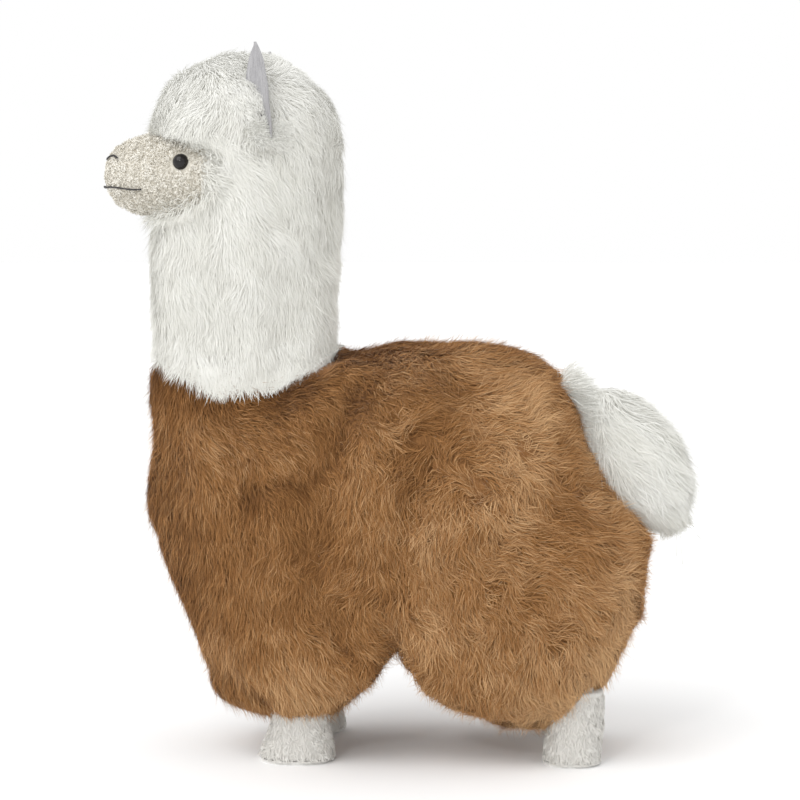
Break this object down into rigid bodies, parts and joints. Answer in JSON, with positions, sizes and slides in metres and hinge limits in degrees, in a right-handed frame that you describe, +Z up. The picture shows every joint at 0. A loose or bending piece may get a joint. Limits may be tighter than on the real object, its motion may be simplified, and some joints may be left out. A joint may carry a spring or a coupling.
{
  "type": "plush alpaca",
  "caption": "Standing plush alpaca with a brown fleecy body, a white woolly neck and tail, a short-shorn face with bead eyes, and stubby white legs.",
  "frame": {"origin": "on the ground, under the middle of the toy's box", "axes": "+Z up, the toy faces -X, its left side is towards -Y"},
  "size_m": [0.221, 0.1077, 0.2627],
  "materials": {
    "wool_brown": "long combed wool pile",
    "wool_white": "long combed wool pile",
    "shorn_cream": "short curly pile",
    "shorn_white": "short dense pile",
    "suede_grey": "matte suede",
    "bead_black": "polished",
    "thread_black": "twisted thread",
    "felt_white": "pressed felt",
    "washer_plastic": "moulded",
    "fibre_fill": "loose fibre"
  },
  "bodies": {
    "root": {"body_cover": "wool_brown", "body_stuffing": "fibre_fill", "neck_head_cover": "wool_white", "face_cover": "shorn_cream", "head_stuffing": "fibre_fill", "left_eye": "bead_black", "right_eye": "bead_black", "left_eye_washer": "washer_plastic", "right_eye_washer": "washer_plastic", "mouth_stitch": "thread_black", "left_nostril_stitch": "thread_black", "right_nostril_stitch": "thread_black", "left_ear": "suede_grey", "right_ear": "suede_grey", "tail": "wool_white", "left_fore_leg_cover": "shorn_white", "left_fore_leg_stuffing": "fibre_fill", "left_fore_sole": "felt_white", "left_hind_leg_cover": "shorn_white", "left_hind_leg_stuffing": "fibre_fill", "left_hind_sole": "felt_white", "right_fore_leg_cover": "shorn_white", "right_fore_leg_stuffing": "fibre_fill", "right_fore_sole": "felt_white", "right_hind_leg_cover": "shorn_white", "right_hind_leg_stuffing": "fibre_fill", "right_hind_sole": "felt_white"}
  },
  "joints": []
}
